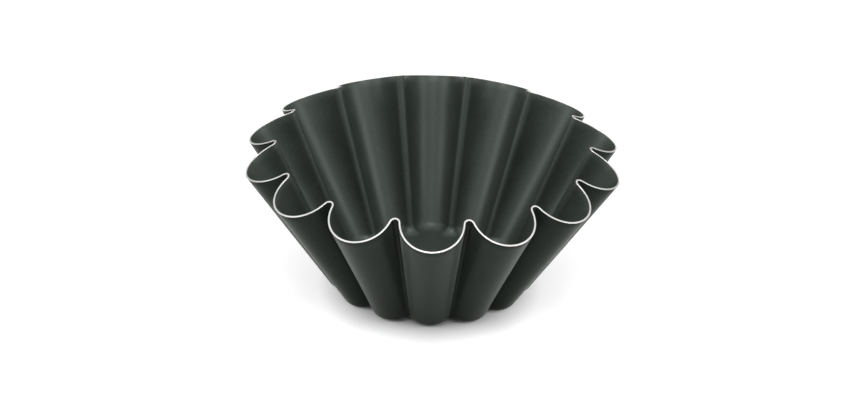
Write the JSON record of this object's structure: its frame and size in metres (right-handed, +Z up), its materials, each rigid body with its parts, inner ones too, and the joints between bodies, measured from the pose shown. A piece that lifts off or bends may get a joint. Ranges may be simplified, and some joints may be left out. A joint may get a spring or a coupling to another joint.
{
  "type": "brioche mould",
  "caption": "Flared round baking mould of pressed steel with a deeply fluted wall, a small flat scalloped base and a dark non-stick coat inside and out.",
  "frame": {"origin": "centre of the flat base, on the surface that the mould stands on", "axes": "+Z up along the mould's axis; -Y through the crest of the flute that faces the front"},
  "size_m": [0.177, 0.1808, 0.0727],
  "materials": {
    "bare_steel": "bare sheared edge of cold-rolled sheet",
    "inner_nonstick": "satin, finely mottled baked-on film",
    "outer_nonstick": "satin, finely mottled baked-on film"
  },
  "bodies": {
    "root": {"steel_shell": "bare_steel", "inner_coating": "inner_nonstick", "outer_coating": "outer_nonstick"}
  },
  "joints": []
}
